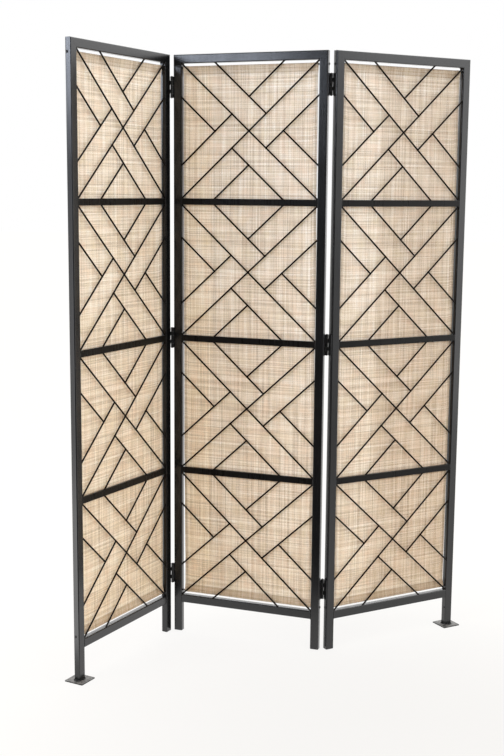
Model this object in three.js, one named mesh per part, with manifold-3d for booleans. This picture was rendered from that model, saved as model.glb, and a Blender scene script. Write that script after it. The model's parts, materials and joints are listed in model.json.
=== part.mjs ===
// Accordion folding partition: three framed panels on butt hinges.
// Each panel is a mitred tube frame with three crossbars, four welded lattices of round rod
// and one cloth whose hem pockets are stretched between two steel rods.
// Millimetres, +Z up. X runs along the centre panel and its front looks along -Y.
import * as THREE from 'three';
import { mergeVertices } from 'three/addons/utils/BufferGeometryUtils.js';
import Module from 'manifold-3d';

// Panel frame, bent from one rectangular tube
const PANEL_WIDTH = 478;
const PANEL_HEIGHT = 1780;
const TUBE_FACE = 26;
const TUBE_DEPTH = 19;
const TUBE_WALL = 1.5;
const TUBE_RADIUS = 2.5;
const LEG_HEIGHT = 94.5; // floor to the underside of the bottom rail

// Crossbars, flat tube flush with the front of the frame
const BAR_COUNT = 3;
const BAR_FACE = 19;
const BAR_DEPTH = 9;
const BAR_WALL = 1.2;
const BAR_RADIUS = 1.5;

// Lattice of round rod, just behind the front of the frame
const LATTICE_ROD = 4.5;
const LATTICE_INSET = 3; // front of the frame to the middle of the rod
const ROD_SIDES = 8;

// Cloth and the two rods that stretch it
const HEM_ROD = 6;
const HEM_ROD_INSET = 11.5; // rail to the middle of the rod
const HEM_ROD_BACK = 12.5; // front of the frame to the middle of the rod
const HEM_DEPTH = 26; // fold of the cloth to its seam
const CLOTH_THICKNESS = 0.8;
const CLOTH_MARGIN = 4; // upright to the edge of the cloth
const ROD_TAPPING = 3.3;
const ROD_TAPPING_DEPTH = 14;
const ROD_SCREW_HOLE = 4.4;

// Feet under the two outer legs
const FOOT_SIZE = 62;
const FOOT_THICKNESS = 3;
const FOOT_RADIUS = 3;
const DRAIN_HOLE = 5;
const DRAIN_HEIGHT = 60;
const DRAIN_BACK = 5.5; // front of the frame to the middle of the hole

// Butt hinges between the panels
const HINGE_LENGTH = 62;
const HINGE_INSET = 94; // frame edge to the middle of the first and the last hinge
const HINGE_KNUCKLES = 5;
const KNUCKLE_RADIUS = 4;
const KNUCKLE_GAP = 0.4;
const LEAF_THICKNESS = 1.8;
const LEAF_WIDTH = 19.5; // pin to the free edge of a leaf
const LEAF_HOLE = 4;
const LEAF_HOLE_PITCH = 21;
const LEAF_HOLE_STAGGER = 2.2;
const PIN_DIAMETER = 4;
const PIN_HEAD = 5.6;
const PIN_HEAD_HEIGHT = 1.2;
const PIN_PROUD = 2.5; // panel face to the pin axis

// How the screen stands: angle of each outer panel out of line with the centre panel
const LEFT_FOLD = 81;
const RIGHT_FOLD = 49;

const SEAM = 0.3; // clearance where two pieces are welded or seated
const PIN_CLEARANCE = 0.25;
const OVERCUT = 5; // how far a cutter reaches past what it cuts
const BARREL_SIDES = 10;
const HOLE_SIDES = 8;

const FRONT = -TUBE_DEPTH / 2;
const OPENING_WIDTH = PANEL_WIDTH - 2 * TUBE_FACE;
const OPENING_BOTTOM = LEG_HEIGHT + TUBE_FACE;
const OPENING_TOP = PANEL_HEIGHT - TUBE_FACE;
const CELL_COUNT = BAR_COUNT + 1;
const CELL_HEIGHT = (OPENING_TOP - OPENING_BOTTOM - BAR_COUNT * BAR_FACE) / CELL_COUNT;
const CELL_PITCH = CELL_HEIGHT + BAR_FACE;
const UPRIGHT_X = (PANEL_WIDTH - TUBE_FACE) / 2;
const HEM_ROD_Y = FRONT + HEM_ROD_BACK;
const HEM_ROD_TOP = OPENING_TOP - HEM_ROD_INSET;
const HEM_ROD_BOTTOM = OPENING_BOTTOM + HEM_ROD_INSET;
const PIN_X = PANEL_WIDTH / 2 + SEAM + KNUCKLE_RADIUS;
const PIN_Y = TUBE_DEPTH / 2 + PIN_PROUD;

const wasm = await Module();
wasm.setup();

// Turns a closed geometry into a solid that can be joined and cut.
function solid(geometry) {
  const bare = geometry.clone();
  bare.deleteAttribute('normal');
  bare.deleteAttribute('uv');
  const welded = mergeVertices(bare, 1e-4);
  const vertProperties = new Float32Array(welded.attributes.position.array);
  const triVerts = new Uint32Array(welded.index.array);
  return new wasm.Manifold(new wasm.Mesh({ numProp: 3, vertProperties, triVerts }));
}

function geometryOf(body) {
  const mesh = body.getMesh();
  const geometry = new THREE.BufferGeometry();
  geometry.setAttribute('position', new THREE.BufferAttribute(mesh.vertProperties, 3));
  geometry.setIndex(new THREE.BufferAttribute(mesh.triVerts, 1));
  const faceted = geometry.toNonIndexed();
  faceted.computeVertexNormals();
  return faceted;
}

function join(geometries) {
  return geometries.map(solid).reduce((whole, piece) => whole.add(piece));
}

function cut(geometry, cutters) {
  const body = cutters.map(solid).reduce((rest, cutter) => rest.subtract(cutter), solid(geometry));
  return geometryOf(body);
}

function roundedRectangle(width, height, radius) {
  const shape = new THREE.Shape();
  const x = width / 2 - radius;
  const y = height / 2 - radius;
  shape.absarc(x, y, radius, 0, Math.PI / 2);
  shape.absarc(-x, y, radius, Math.PI / 2, Math.PI);
  shape.absarc(-x, -y, radius, Math.PI, 1.5 * Math.PI);
  shape.absarc(x, -y, radius, 1.5 * Math.PI, 2 * Math.PI);
  return shape;
}

function tubeSection(width, height, radius, wall) {
  const section = roundedRectangle(width, height, radius);
  section.holes.push(roundedRectangle(width - 2 * wall, height - 2 * wall, radius - wall / 2));
  return section;
}

// Extrudes a section drawn in X and Y straight up, from one height to another.
function prismUp(section, bottom, top, curveSegments = 2) {
  const options = { depth: top - bottom, bevelEnabled: false, curveSegments };
  return new THREE.ExtrudeGeometry(section, options).translate(0, 0, bottom);
}

// Extrudes a section drawn as Y and Z along X, centred on X = 0.
function prismAcross(section, length, curveSegments = 2) {
  const options = { depth: length, bevelEnabled: false, curveSegments };
  const geometry = new THREE.ExtrudeGeometry(section, options).translate(0, 0, -length / 2);
  return geometry.rotateX(Math.PI / 2).rotateZ(Math.PI / 2);
}

// Extrudes an outline drawn as X and Z through the depth of the frame.
function cutterThrough(points) {
  const depth = TUBE_DEPTH + 2 * OVERCUT;
  const outline = new THREE.Shape(points.map(([x, z]) => new THREE.Vector2(x, z)));
  const geometry = new THREE.ExtrudeGeometry(outline, { depth, bevelEnabled: false });
  return geometry.translate(0, 0, -depth / 2).rotateX(Math.PI / 2);
}

function holeAcross(diameter, length, x, y, z) {
  const drill = new THREE.CylinderGeometry(diameter / 2, diameter / 2, length, HOLE_SIDES);
  return drill.rotateZ(Math.PI / 2).translate(x, y, z);
}

// The mitre runs at 45 degrees through the outer top corner of the frame, half a seam each side.
// side is -1 for a left corner and 1 for a right one; x is measured from the middle of the tube.
function uprightMitre(side) {
  const drop = SEAM * Math.SQRT1_2;
  const outer = TUBE_FACE / 2 + OVERCUT;
  const high = PANEL_HEIGHT + OVERCUT - drop;
  const low = OPENING_TOP - OVERCUT - drop;
  return cutterThrough([[side * outer, high], [-side * outer, low], [-side * outer, high + OVERCUT],
    [side * outer, high + OVERCUT]]);
}

function railMitre(side) {
  const lift = SEAM * Math.SQRT1_2;
  const outer = PANEL_WIDTH / 2 + OVERCUT;
  const inner = OPENING_WIDTH / 2 - OVERCUT;
  const high = PANEL_HEIGHT + OVERCUT + lift;
  const low = OPENING_TOP - OVERCUT + lift;
  return cutterThrough([[side * outer, high], [side * inner, low], [side * inner, low - OVERCUT],
    [side * (outer + OVERCUT), low - OVERCUT], [side * (outer + OVERCUT), high]]);
}

// One leg of a frame. An outer leg stands on a welded foot plate that closes its tube,
// and has a drain hole on its inner face; the other legs end open, flush with the floor.
function uprightGeometry(side, standsOnFoot) {
  const section = tubeSection(TUBE_FACE, TUBE_DEPTH, TUBE_RADIUS, TUBE_WALL);
  const through = TUBE_FACE + 2 * OVERCUT;
  const cutters = [
    uprightMitre(side),
    holeAcross(ROD_SCREW_HOLE, through, 0, HEM_ROD_Y, HEM_ROD_TOP),
    holeAcross(ROD_SCREW_HOLE, through, 0, HEM_ROD_Y, HEM_ROD_BOTTOM),
  ];
  if (!standsOnFoot) return cut(prismUp(section, 0, PANEL_HEIGHT), cutters);
  const drainY = FRONT + DRAIN_BACK;
  cutters.push(holeAcross(DRAIN_HOLE, TUBE_FACE, -side * TUBE_FACE / 2, drainY, DRAIN_HEIGHT));
  const plate = prismUp(roundedRectangle(FOOT_SIZE, FOOT_SIZE, FOOT_RADIUS), 0, FOOT_THICKNESS);
  const leg = cut(prismUp(section, FOOT_THICKNESS / 2, PANEL_HEIGHT), cutters);
  return geometryOf(join([leg, plate]));
}

function topRailGeometry() {
  const section = tubeSection(TUBE_DEPTH, TUBE_FACE, TUBE_RADIUS, TUBE_WALL);
  const rail = prismAcross(section, PANEL_WIDTH);
  return cut(rail.translate(0, 0, PANEL_HEIGHT - TUBE_FACE / 2), [railMitre(-1), railMitre(1)]);
}

function bottomRailGeometry() {
  const section = tubeSection(TUBE_DEPTH, TUBE_FACE, TUBE_RADIUS, TUBE_WALL);
  return prismAcross(section, OPENING_WIDTH - 2 * SEAM);
}

function crossbarGeometry() {
  const section = tubeSection(BAR_DEPTH, BAR_FACE, BAR_RADIUS, BAR_WALL);
  return prismAcross(section, OPENING_WIDTH - 2 * SEAM, 1);
}

// A straight rod between two points of the lattice plane, with a flat of its section facing front.
function latticeRod([startX, startZ], [endX, endZ]) {
  const span = Math.hypot(endX - startX, endZ - startZ);
  const rod = new THREE.CylinderGeometry(LATTICE_ROD / 2, LATTICE_ROD / 2, span, ROD_SIDES);
  rod.rotateY(Math.PI / ROD_SIDES);
  rod.rotateX(Math.PI / 2).rotateY(Math.PI / 2 - Math.atan2(endZ - startZ, endX - startX));
  return rod.translate((startX + endX) / 2, 0, (startZ + endZ) / 2);
}

// The lattice of one cell, about the middle of the cell. Points are shares of the cell, from its
// top left corner. Two diagonals cross in the middle, and at each quarter turn a long and a short
// rod run parallel to them, from a quarter of an edge to the rod that they meet.
function latticeGeometry() {
  const quarterTurn = ([across, down]) => [1 - down, across];
  const place = ([across, down]) => [(across - 0.5) * OPENING_WIDTH, (0.5 - down) * CELL_HEIGHT];
  const reach = 0.02; // rods start outside the cell and are trimmed flush with its edges
  const rods = [
    latticeRod(place([-reach, -reach]), place([1 + reach, 1 + reach])),
    latticeRod(place([1 + reach, -reach]), place([-reach, 1 + reach])),
  ];
  let long = [[0.25 - reach, -reach], [0.625, 0.375]];
  let short = [[0.75 + reach, -reach], [0.5, 0.25]];
  for (let turn = 0; turn < 4; turn += 1) {
    rods.push(latticeRod(place(long[0]), place(long[1])));
    rods.push(latticeRod(place(short[0]), place(short[1])));
    long = long.map(quarterTurn);
    short = short.map(quarterTurn);
  }
  const trim = new THREE.BoxGeometry(OPENING_WIDTH - 2 * SEAM, TUBE_DEPTH, CELL_HEIGHT - 2 * SEAM);
  return geometryOf(join(rods).intersect(solid(trim)));
}

// A hem pocket in section: a drop shape that lies round its rod and narrows to its seam.
// direction is 1 for the top hem and -1 for the bottom hem.
function hemPocket(rodHeight, seamHeight, radius, direction) {
  const pocket = new THREE.Path();
  const first = direction > 0 ? 0 : Math.PI;
  pocket.moveTo(0, seamHeight + direction * 2 * CLOTH_THICKNESS);
  pocket.lineTo(direction * radius, rodHeight);
  pocket.absarc(0, rodHeight, radius, first, first + Math.PI);
  return pocket;
}

// Section of the stretched cloth in Y and Z: one layer between two hem pockets.
function clothGeometry() {
  const half = CLOTH_THICKNESS / 2;
  const inner = HEM_ROD / 2 + SEAM;
  const outer = inner + CLOTH_THICKNESS;
  const topSeam = HEM_ROD_TOP + outer - HEM_DEPTH;
  const bottomSeam = HEM_ROD_BOTTOM - outer + HEM_DEPTH;
  const section = new THREE.Shape();
  section.moveTo(half, bottomSeam);
  section.lineTo(half, topSeam);
  section.lineTo(outer, HEM_ROD_TOP);
  section.absarc(0, HEM_ROD_TOP, outer, 0, Math.PI);
  section.lineTo(-half, topSeam);
  section.lineTo(-half, bottomSeam);
  section.lineTo(-outer, HEM_ROD_BOTTOM);
  section.absarc(0, HEM_ROD_BOTTOM, outer, Math.PI, 2 * Math.PI);
  section.holes.push(hemPocket(HEM_ROD_TOP, topSeam, inner, 1));
  section.holes.push(hemPocket(HEM_ROD_BOTTOM, bottomSeam, inner, -1));
  return prismAcross(section, OPENING_WIDTH - 2 * CLOTH_MARGIN, 4).translate(0, HEM_ROD_Y, 0);
}

// A steel rod with a tapped hole in each end, for the screws through the uprights.
function hemRodGeometry() {
  const half = OPENING_WIDTH / 2 - SEAM;
  const tapping = ROD_TAPPING / 2;
  const floor = half - ROD_TAPPING_DEPTH;
  const profile = [[0, -floor], [tapping, -floor], [tapping, -half], [HEM_ROD / 2, -half],
    [HEM_ROD / 2, half], [tapping, half], [tapping, floor], [0, floor]];
  const points = profile.map(([radius, along]) => new THREE.Vector2(radius, along));
  return new THREE.LatheGeometry(points, BARREL_SIDES).rotateZ(-Math.PI / 2);
}

// One hinge leaf about the pin axis: the plate lies tangent to the barrel on its +X side and
// reaches back along +Y. knuckles lists which fifths of the barrel belong to this leaf.
function leafGeometry(knuckles) {
  const bore = PIN_DIAMETER / 2 + PIN_CLEARANCE;
  const section = new THREE.Shape();
  section.moveTo(KNUCKLE_RADIUS, LEAF_WIDTH);
  section.lineTo(KNUCKLE_RADIUS - LEAF_THICKNESS, LEAF_WIDTH);
  section.lineTo(KNUCKLE_RADIUS - LEAF_THICKNESS, KNUCKLE_RADIUS);
  const meeting = Math.acos((KNUCKLE_RADIUS - LEAF_THICKNESS) / KNUCKLE_RADIUS);
  section.absarc(0, 0, KNUCKLE_RADIUS, meeting, 2 * Math.PI);
  const hole = new THREE.Path();
  hole.absarc(0, 0, bore, 0, 2 * Math.PI);
  section.holes.push(hole);
  const leaf = prismUp(section, -HINGE_LENGTH / 2, HINGE_LENGTH / 2, BARREL_SIDES / 2);

  const cutters = [];
  const pitch = HINGE_LENGTH / HINGE_KNUCKLES;
  const slotWidth = 2 * (KNUCKLE_RADIUS + KNUCKLE_GAP);
  for (let index = 0; index < HINGE_KNUCKLES; index += 1) {
    if (knuckles.includes(index)) continue;
    const isLast = index === HINGE_KNUCKLES - 1;
    const bottom = index * pitch - (index === 0 ? OVERCUT : KNUCKLE_GAP / 2);
    const top = (index + 1) * pitch + (isLast ? OVERCUT : KNUCKLE_GAP / 2);
    const slot = new THREE.BoxGeometry(slotWidth, slotWidth, top - bottom);
    cutters.push(slot.translate(0, 0, (top + bottom - HINGE_LENGTH) / 2));
  }
  for (const row of [-1, 0, 1]) {
    const across = (KNUCKLE_RADIUS + LEAF_WIDTH) / 2 + (row === 0 ? 1 : -1) * LEAF_HOLE_STAGGER;
    cutters.push(holeAcross(LEAF_HOLE, 2 * OVERCUT, KNUCKLE_RADIUS, across, row * LEAF_HOLE_PITCH));
  }
  return cut(leaf, cutters);
}

// The pin, with a low dome formed on each end of the barrel.
function pinGeometry() {
  const half = HINGE_LENGTH / 2 + SEAM;
  const shaft = PIN_DIAMETER / 2;
  const head = PIN_HEAD / 2;
  const profile = [[0, -half - PIN_HEAD_HEIGHT], [head * 0.6, -half - PIN_HEAD_HEIGHT * 0.8], [head, -half],
    [shaft, -half], [shaft, half], [head, half], [head * 0.6, half + PIN_HEAD_HEIGHT * 0.8],
    [0, half + PIN_HEAD_HEIGHT]];
  const points = profile.map(([radius, height]) => new THREE.Vector2(radius, height));
  return new THREE.LatheGeometry(points, BARREL_SIDES).rotateX(Math.PI / 2);
}

const finishes = {
  frame: { color: 0x4b4e50, roughness: 0.38, metalness: 0.6 },
  lattice: { color: 0x2a1f1a, roughness: 0.45, metalness: 0.5 },
  cloth: { color: 0xe0c9a8, roughness: 0.95, metalness: 0 },
  steel: { color: 0x8b8f92, roughness: 0.35, metalness: 0.9 },
  hinge: { color: 0x1d1d1e, roughness: 0.4, metalness: 0.7 },
};

function addPiece(group, name, geometry, finish) {
  const mesh = new THREE.Mesh(geometry, new THREE.MeshStandardMaterial(finishes[finish]));
  mesh.name = name;
  group.add(mesh);
  return mesh;
}

const shared = {
  topRail: topRailGeometry(),
  bottomRail: bottomRailGeometry(),
  crossbar: crossbarGeometry(),
  lattice: latticeGeometry(),
  cloth: clothGeometry(),
  hemRod: hemRodGeometry(),
  threeKnuckleLeaf: leafGeometry([0, 2, 4]),
  twoKnuckleLeaf: leafGeometry([1, 3]),
  pin: pinGeometry(),
};

// One panel, about the floor under its middle. footSide is -1 or 1 where a leg has a foot plate.
function panel(place, footSide) {
  const group = new THREE.Group();
  const add = (piece, geometry, finish) => addPiece(group, `${place}_panel_${piece}`, geometry, finish);
  for (const [word, side] of [['left', -1], ['right', 1]]) {
    const upright = add(`${word}_upright`, uprightGeometry(side, side === footSide), 'frame');
    upright.position.x = side * UPRIGHT_X;
  }
  add('top_rail', shared.topRail, 'frame');
  add('bottom_rail', shared.bottomRail, 'frame').position.z = LEG_HEIGHT + TUBE_FACE / 2;
  for (let bar = 1; bar <= BAR_COUNT; bar += 1) {
    const height = OPENING_TOP - bar * CELL_PITCH + BAR_FACE / 2;
    add(`crossbar_${bar}`, shared.crossbar, 'frame').position.set(0, FRONT + BAR_DEPTH / 2, height);
  }
  for (let cell = 1; cell <= CELL_COUNT; cell += 1) {
    const height = OPENING_TOP - (cell - 1) * CELL_PITCH - CELL_HEIGHT / 2;
    add(`lattice_${cell}`, shared.lattice, 'lattice').position.set(0, FRONT + LATTICE_INSET, height);
  }
  add('cloth', shared.cloth, 'cloth');
  add('top_hem_rod', shared.hemRod, 'steel').position.set(0, HEM_ROD_Y, HEM_ROD_TOP);
  add('bottom_hem_rod', shared.hemRod, 'steel').position.set(0, HEM_ROD_Y, HEM_ROD_BOTTOM);
  return group;
}

// One hinge between the centre panel and an outer one. side is -1 for the left joint, whose pins
// stand in front so that the front faces fold together, and 1 for the right one, whose pins stand
// behind. A leaf that isn't at the +X and +Y side of its pin is turned half round to reach its leg.
function addHinge(outerPanel, side, level, height) {
  const name = `hinge_${side < 0 ? 'left' : 'right'}_${level}`;
  const fixedLeaf = addPiece(centrePanel, `${name}_centre_leaf`, shared.threeKnuckleLeaf, 'hinge');
  const pin = addPiece(centrePanel, `${name}_pin`, shared.pin, 'hinge');
  const movingLeaf = addPiece(outerPanel, `${name}_outer_leaf`, shared.twoKnuckleLeaf, 'hinge');
  fixedLeaf.position.set(side * PIN_X, side * PIN_Y, height);
  pin.position.copy(fixedLeaf.position);
  movingLeaf.position.set(-side * PIN_X, side * PIN_Y, height);
  if (side < 0) movingLeaf.rotation.y = Math.PI;
  if (side > 0) fixedLeaf.rotation.z = Math.PI;
  if (side > 0) movingLeaf.rotation.x = Math.PI;
}

const hingeHeights = {
  top: PANEL_HEIGHT - HINGE_INSET,
  middle: OPENING_TOP - 2 * CELL_PITCH + BAR_FACE / 2,
  bottom: LEG_HEIGHT + HINGE_INSET,
};

const centrePanel = panel('centre', 0);
const leftPanel = panel('left', -1);
const rightPanel = panel('right', 1);
for (const [level, height] of Object.entries(hingeHeights)) {
  addHinge(leftPanel, -1, level, height);
  addHinge(rightPanel, 1, level, height);
}

// Turns an outer panel about its pins, from flat beside the centre panel to its standing angle.
function folded(outerPanel, side, angle) {
  const pivot = new THREE.Group();
  pivot.position.set(side * PIN_X, side * PIN_Y, 0);
  pivot.rotation.z = THREE.MathUtils.degToRad(angle);
  outerPanel.position.set(side * PIN_X, -side * PIN_Y, 0);
  return pivot.add(outerPanel);
}

// The origin is on the floor, under the middle of the box round the standing screen.
const foldingPartition = new THREE.Group();
const standing = new THREE.Group();
standing.add(centrePanel, folded(leftPanel, -1, LEFT_FOLD), folded(rightPanel, 1, RIGHT_FOLD));
foldingPartition.add(standing);
foldingPartition.updateMatrixWorld(true);
const box = new THREE.Box3().setFromObject(foldingPartition, true);
const middle = box.getCenter(new THREE.Vector3());
standing.position.set(-middle.x, -middle.y, 0);

export default foldingPartition;
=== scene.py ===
# Folding partition of three hinged panels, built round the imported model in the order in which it
# is put together. Metres, +Z up; the front of the centre panel looks along -Y.
import json
import math

import bmesh
import bpy
from mathutils import Matrix, Vector, noise


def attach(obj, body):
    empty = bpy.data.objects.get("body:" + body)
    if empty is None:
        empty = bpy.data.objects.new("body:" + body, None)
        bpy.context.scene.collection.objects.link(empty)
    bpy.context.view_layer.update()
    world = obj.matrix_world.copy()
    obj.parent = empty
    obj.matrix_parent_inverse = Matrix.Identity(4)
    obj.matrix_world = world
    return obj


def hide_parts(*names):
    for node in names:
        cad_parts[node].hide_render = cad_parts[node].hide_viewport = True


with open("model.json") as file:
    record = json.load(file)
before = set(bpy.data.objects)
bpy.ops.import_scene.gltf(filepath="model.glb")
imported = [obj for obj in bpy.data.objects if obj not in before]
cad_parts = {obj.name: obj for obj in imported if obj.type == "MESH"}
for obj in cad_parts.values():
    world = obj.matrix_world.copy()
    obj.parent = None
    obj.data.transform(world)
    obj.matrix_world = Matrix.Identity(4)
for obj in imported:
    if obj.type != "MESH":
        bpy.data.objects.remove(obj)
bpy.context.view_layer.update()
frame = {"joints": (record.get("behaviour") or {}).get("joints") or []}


# ---- Viewpoint -----------------------------------------------------------------------------
# The camera stands to the right of the screen at chest height. It looks left and slightly down
# at the centre panel through a moderate telephoto lens, with no shift and no blur.
eye = Vector((1.1314, -3.3308, 1.3905))
turned_left = math.radians(20.076)
tipped_down = math.radians(8.91)
rolled = math.radians(0.488)
lens = 57.55


def linked(name, data):
    """A new object in the scene, at the origin."""
    thing = bpy.data.objects.new(name, data)
    bpy.context.scene.collection.objects.link(thing)
    return thing


camera = linked("viewpoint", bpy.data.cameras.new("viewpoint"))
camera.data.sensor_width = 36
camera.data.lens = lens
aim = Matrix.Rotation(turned_left, 4, "Z") @ Matrix.Rotation(math.pi / 2 - tipped_down, 4, "X")
camera.matrix_world = Matrix.Translation(eye) @ aim @ Matrix.Rotation(rolled, 4, "Z")
bpy.context.scene.camera = camera
bpy.context.scene.view_settings.view_transform = "Standard"


# ---- Studio --------------------------------------------------------------------------------
# A white sweep behind and under the screen, evenly lit from all round. Gloss sees a bright room
# behind and a dark one in front. A strip lamp at the front left, softboxes at the right, high
# behind and high in front, and a card on each side give the frame its tones.
even_light = 1.15
room_in_front, room_behind, room_above = 0.05, 2.2, 0.65
floor_half = 30
floor_drop = 0.0002
floor_shade = (0.70, 0.63, 0.53, 1)
own_light = 0.85
# How bright gloss sees the floor: overall, in the painted pool of light, and in front of the
# screen.
sheen, pool_sheen, dark_sheen = 0.4, 2.8, 0.06
# The point where the painted shade on the floor is darkest.
painted_shade_middle = (0.6, -0.6, 0.0)


class Wire:
    """A node's output. Arithmetic on it adds the Math nodes that work it out."""

    def __init__(self, nodes, socket):
        self.nodes = nodes
        self.socket = socket

    def worked(self, operation, *terms):
        return self.nodes.add("ShaderNodeMath", {"operation": operation}, dict(enumerate(terms)))

    def __add__(self, other):
        return self.worked("ADD", self, other)

    def __sub__(self, other):
        return self.worked("SUBTRACT", self, other)

    def __rsub__(self, other):
        return self.worked("SUBTRACT", other, self)

    def __mul__(self, other):
        return self.worked("MULTIPLY", self, other)

    def __truediv__(self, other):
        return self.worked("DIVIDE", self, other)

    __radd__ = __add__
    __rmul__ = __mul__


class Nodes:
    """The node tree of one finish, light or pattern."""

    def __init__(self, tree):
        self.tree = tree
        tree.nodes.clear()

    def add(self, kind, settings=None, values=None, output=0):
        """Adds a node and gives its output, or a list of them where several are named."""
        node = self.tree.nodes.new(kind)
        for name, value in (settings or {}).items():
            if name == "stops":
                ramp = node.color_ramp.elements
                while len(ramp) < len(value):
                    ramp.new(0.5)
                for stop, (place, shade) in zip(ramp, value):
                    stop.position = place
                    stop.color = shade
            else:
                setattr(node, name, value)
        for socket, value in (values or {}).items():
            if isinstance(value, Wire):
                self.tree.links.new(value.socket, node.inputs[socket])
            else:
                node.inputs[socket].default_value = value
        if isinstance(output, list):
            return [Wire(self, node.outputs[name]) for name in output]
        return Wire(self, node.outputs[output]) if node.outputs else None

    def faded(self, value, start, end, low=0.0, high=1.0):
        """Goes smoothly from low to high while value goes from start to end."""
        limits = {"From Min": start, "From Max": end, "To Min": low, "To Max": high}
        return self.add(
            "ShaderNodeMapRange", {"interpolation_type": "SMOOTHSTEP"}, {"Value": value, **limits}
        )


ray_kinds = ["Is Camera Ray", "Is Glossy Ray", "Is Transmission Ray"]

studio = bpy.data.worlds.new("studio")
studio.use_nodes = True
bpy.context.scene.world = studio
air = Nodes(studio.node_tree)
direction = air.add("ShaderNodeTexCoord", output="Generated")
depth, height = air.add("ShaderNodeSeparateXYZ", values={0: direction}, output=["Y", "Z"])
seen, mirrored, passed = air.add("ShaderNodeLightPath", output=ray_kinds)
shown = air.add("ShaderNodeClamp", values={"Value": seen + passed})
room = air.faded(depth, -0.20, 0.02, room_in_front, room_behind)
room = room + air.faded(height, 0.2, 0.8, 0.0, room_above)
around = mirrored * room + (1 - mirrored) * even_light
backdrop = air.add(
    "ShaderNodeBackground",
    values={"Color": (1, 1, 1, 1), "Strength": shown + (1 - shown) * around},
)
air.add("ShaderNodeOutputWorld", values={"Surface": backdrop})


def mesh_of(name, shape):
    """A finished shape as a mesh."""
    mesh = bpy.data.meshes.new(name)
    shape.to_mesh(mesh)
    shape.free()
    return mesh


floor_shape = bmesh.new()
bmesh.ops.create_grid(floor_shape, x_segments=1, y_segments=1, size=floor_half)
floor_mesh = mesh_of("studio_floor", floor_shape)
floor_mesh.transform(Matrix.Translation((0, 0, -floor_drop)))
floor_paint = bpy.data.materials.new("studio_floor")
floor_paint.use_nodes = True
ground = Nodes(floor_paint.node_tree)
seen, mirrored, passed = ground.add("ShaderNodeLightPath", output=ray_kinds)
lit = ground.add("ShaderNodeBsdfDiffuse", values={"Color": floor_shade})
spot = ground.add("ShaderNodeTexCoord", output="Object")
away = ground.add(
    "ShaderNodeVectorMath", {"operation": "DISTANCE"}, {0: spot, 1: painted_shade_middle}, output="Value"
)
# Painted reflection: gloss sees a dim floor, painted darker in front of the screen and with a
# painted pool of light to its left.
spot_x, spot_y = ground.add("ShaderNodeSeparateXYZ", values={0: spot}, output=["X", "Y"])
painted_pool = ground.faded(spot_x - spot_y * 0.75, 0.12, -0.06) * ground.faded(spot_y, -0.5, -0.7)
painted_pool = painted_pool * ground.faded(spot_y, -2.6, -1.6)
# Painted shade: the white of the floor is darkest round a point in front of the screen and
# brightens away from it.
painted_floor_shade = ground.faded(away, 0.2, 1.7, 0.94, 1.06)
white = ground.add(
    "ShaderNodeEmission",
    values={"Color": (1, 1, 1, 1), "Strength": painted_floor_shade + mirrored * (sheen + painted_pool * pool_sheen)},
)
swept = ground.add(
    "ShaderNodeMixShader", values={0: (seen + mirrored + passed) * own_light, 1: lit, 2: white}
)
unlit = ground.add("ShaderNodeEmission", values={"Color": (1, 1, 1, 1), "Strength": dark_sheen})
# Painted dark reflection: in front of the screen gloss sees a dim floor.
painted_dark_front = mirrored * ground.faded(spot_y, -0.1, -0.7)
painted_dark_front = painted_dark_front * ground.faded(spot_x - spot_y * 0.8, 0.0, 0.3)
swept = ground.add("ShaderNodeMixShader", values={0: painted_dark_front, 1: swept, 2: unlit})
ground.add("ShaderNodeOutputMaterial", values={"Surface": swept})
floor_mesh.materials.append(floor_paint)
floor = linked("studio_floor", floor_mesh)


def softbox(name, place, aimed_at, width, tall, radiance, shade):
    """A rectangular lamp whose face is that bright, seen in reflections but not by the camera."""
    lamp = bpy.data.lights.new(name, "AREA")
    lamp.shape = "RECTANGLE"
    lamp.size = width
    lamp.size_y = tall
    lamp.energy = radiance * math.pi * width * tall
    lamp.color = shade
    stand = linked(name, lamp)
    stand.location = place
    towards = Vector(aimed_at) - Vector(place)
    stand.rotation_euler = towards.to_track_quat("-Z", "Y").to_euler()
    stand.visible_camera = False


softbox("main_softbox", (-2.35, -3.3, 2.15), (-0.1, 0, 1.2), 2.3, 0.55, 12, (0.88, 0.96, 1.12))
softbox("left_card", (-3.1, -3.6, 1.1), (-0.31, -0.47, 0.9), 1.2, 2.2, 1.3, (0.96, 0.98, 1.05))
softbox("side_softbox", (3.3, 0.25, 1.3), (0, 0, 1.2), 1.5, 2.3, 1.2, (0.98, 0.99, 1.0))
softbox("right_card", (3.2, -0.35, 2.3), (0.3, 0, 1.8), 1.1, 0.5, 1.8, (0.98, 1.0, 1.03))
softbox("back_softbox", (2.23, 1.0, 3.4), (-0.1, 0, 1.0), 1.4, 1.4, 2.5, (0.98, 0.99, 1.0))
softbox("fill_softbox", (1.2, -4.2, 3.2), (0, 0, 1.1), 1.4, 1.4, 3.8, (0.98, 0.99, 1.0))


# ---- Uprights ------------------------------------------------------------------------------
# Each panel has two legs of 26 x 19 mm steel tube with rolled corners, mitred at the top and
# welded to the top rail. They are sprayed dark grey-black in a satin coat that hides the welds.
panel_width = 0.478
panel_height = 1.780
tube_face = 0.026
tube_depth = 0.019
tube_wall = 0.0015
tube_radius = 0.0025
tube_section = (tube_face, tube_depth, tube_radius, tube_wall)
front = -tube_depth / 2
upright_x = (panel_width - tube_face) / 2
opening_half = panel_width / 2 - tube_face
joint_gap = 0.00004
plug_flange = 0.0025
plate_thickness = 0.003
pin_across = 0.2433
pin_out = 0.012
left_fold, right_fold = math.radians(81), math.radians(49)
sides = {"left": -1, "right": 1}
plugged = {"left": ["right"], "centre": ["left", "right"], "right": ["left"]}

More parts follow.
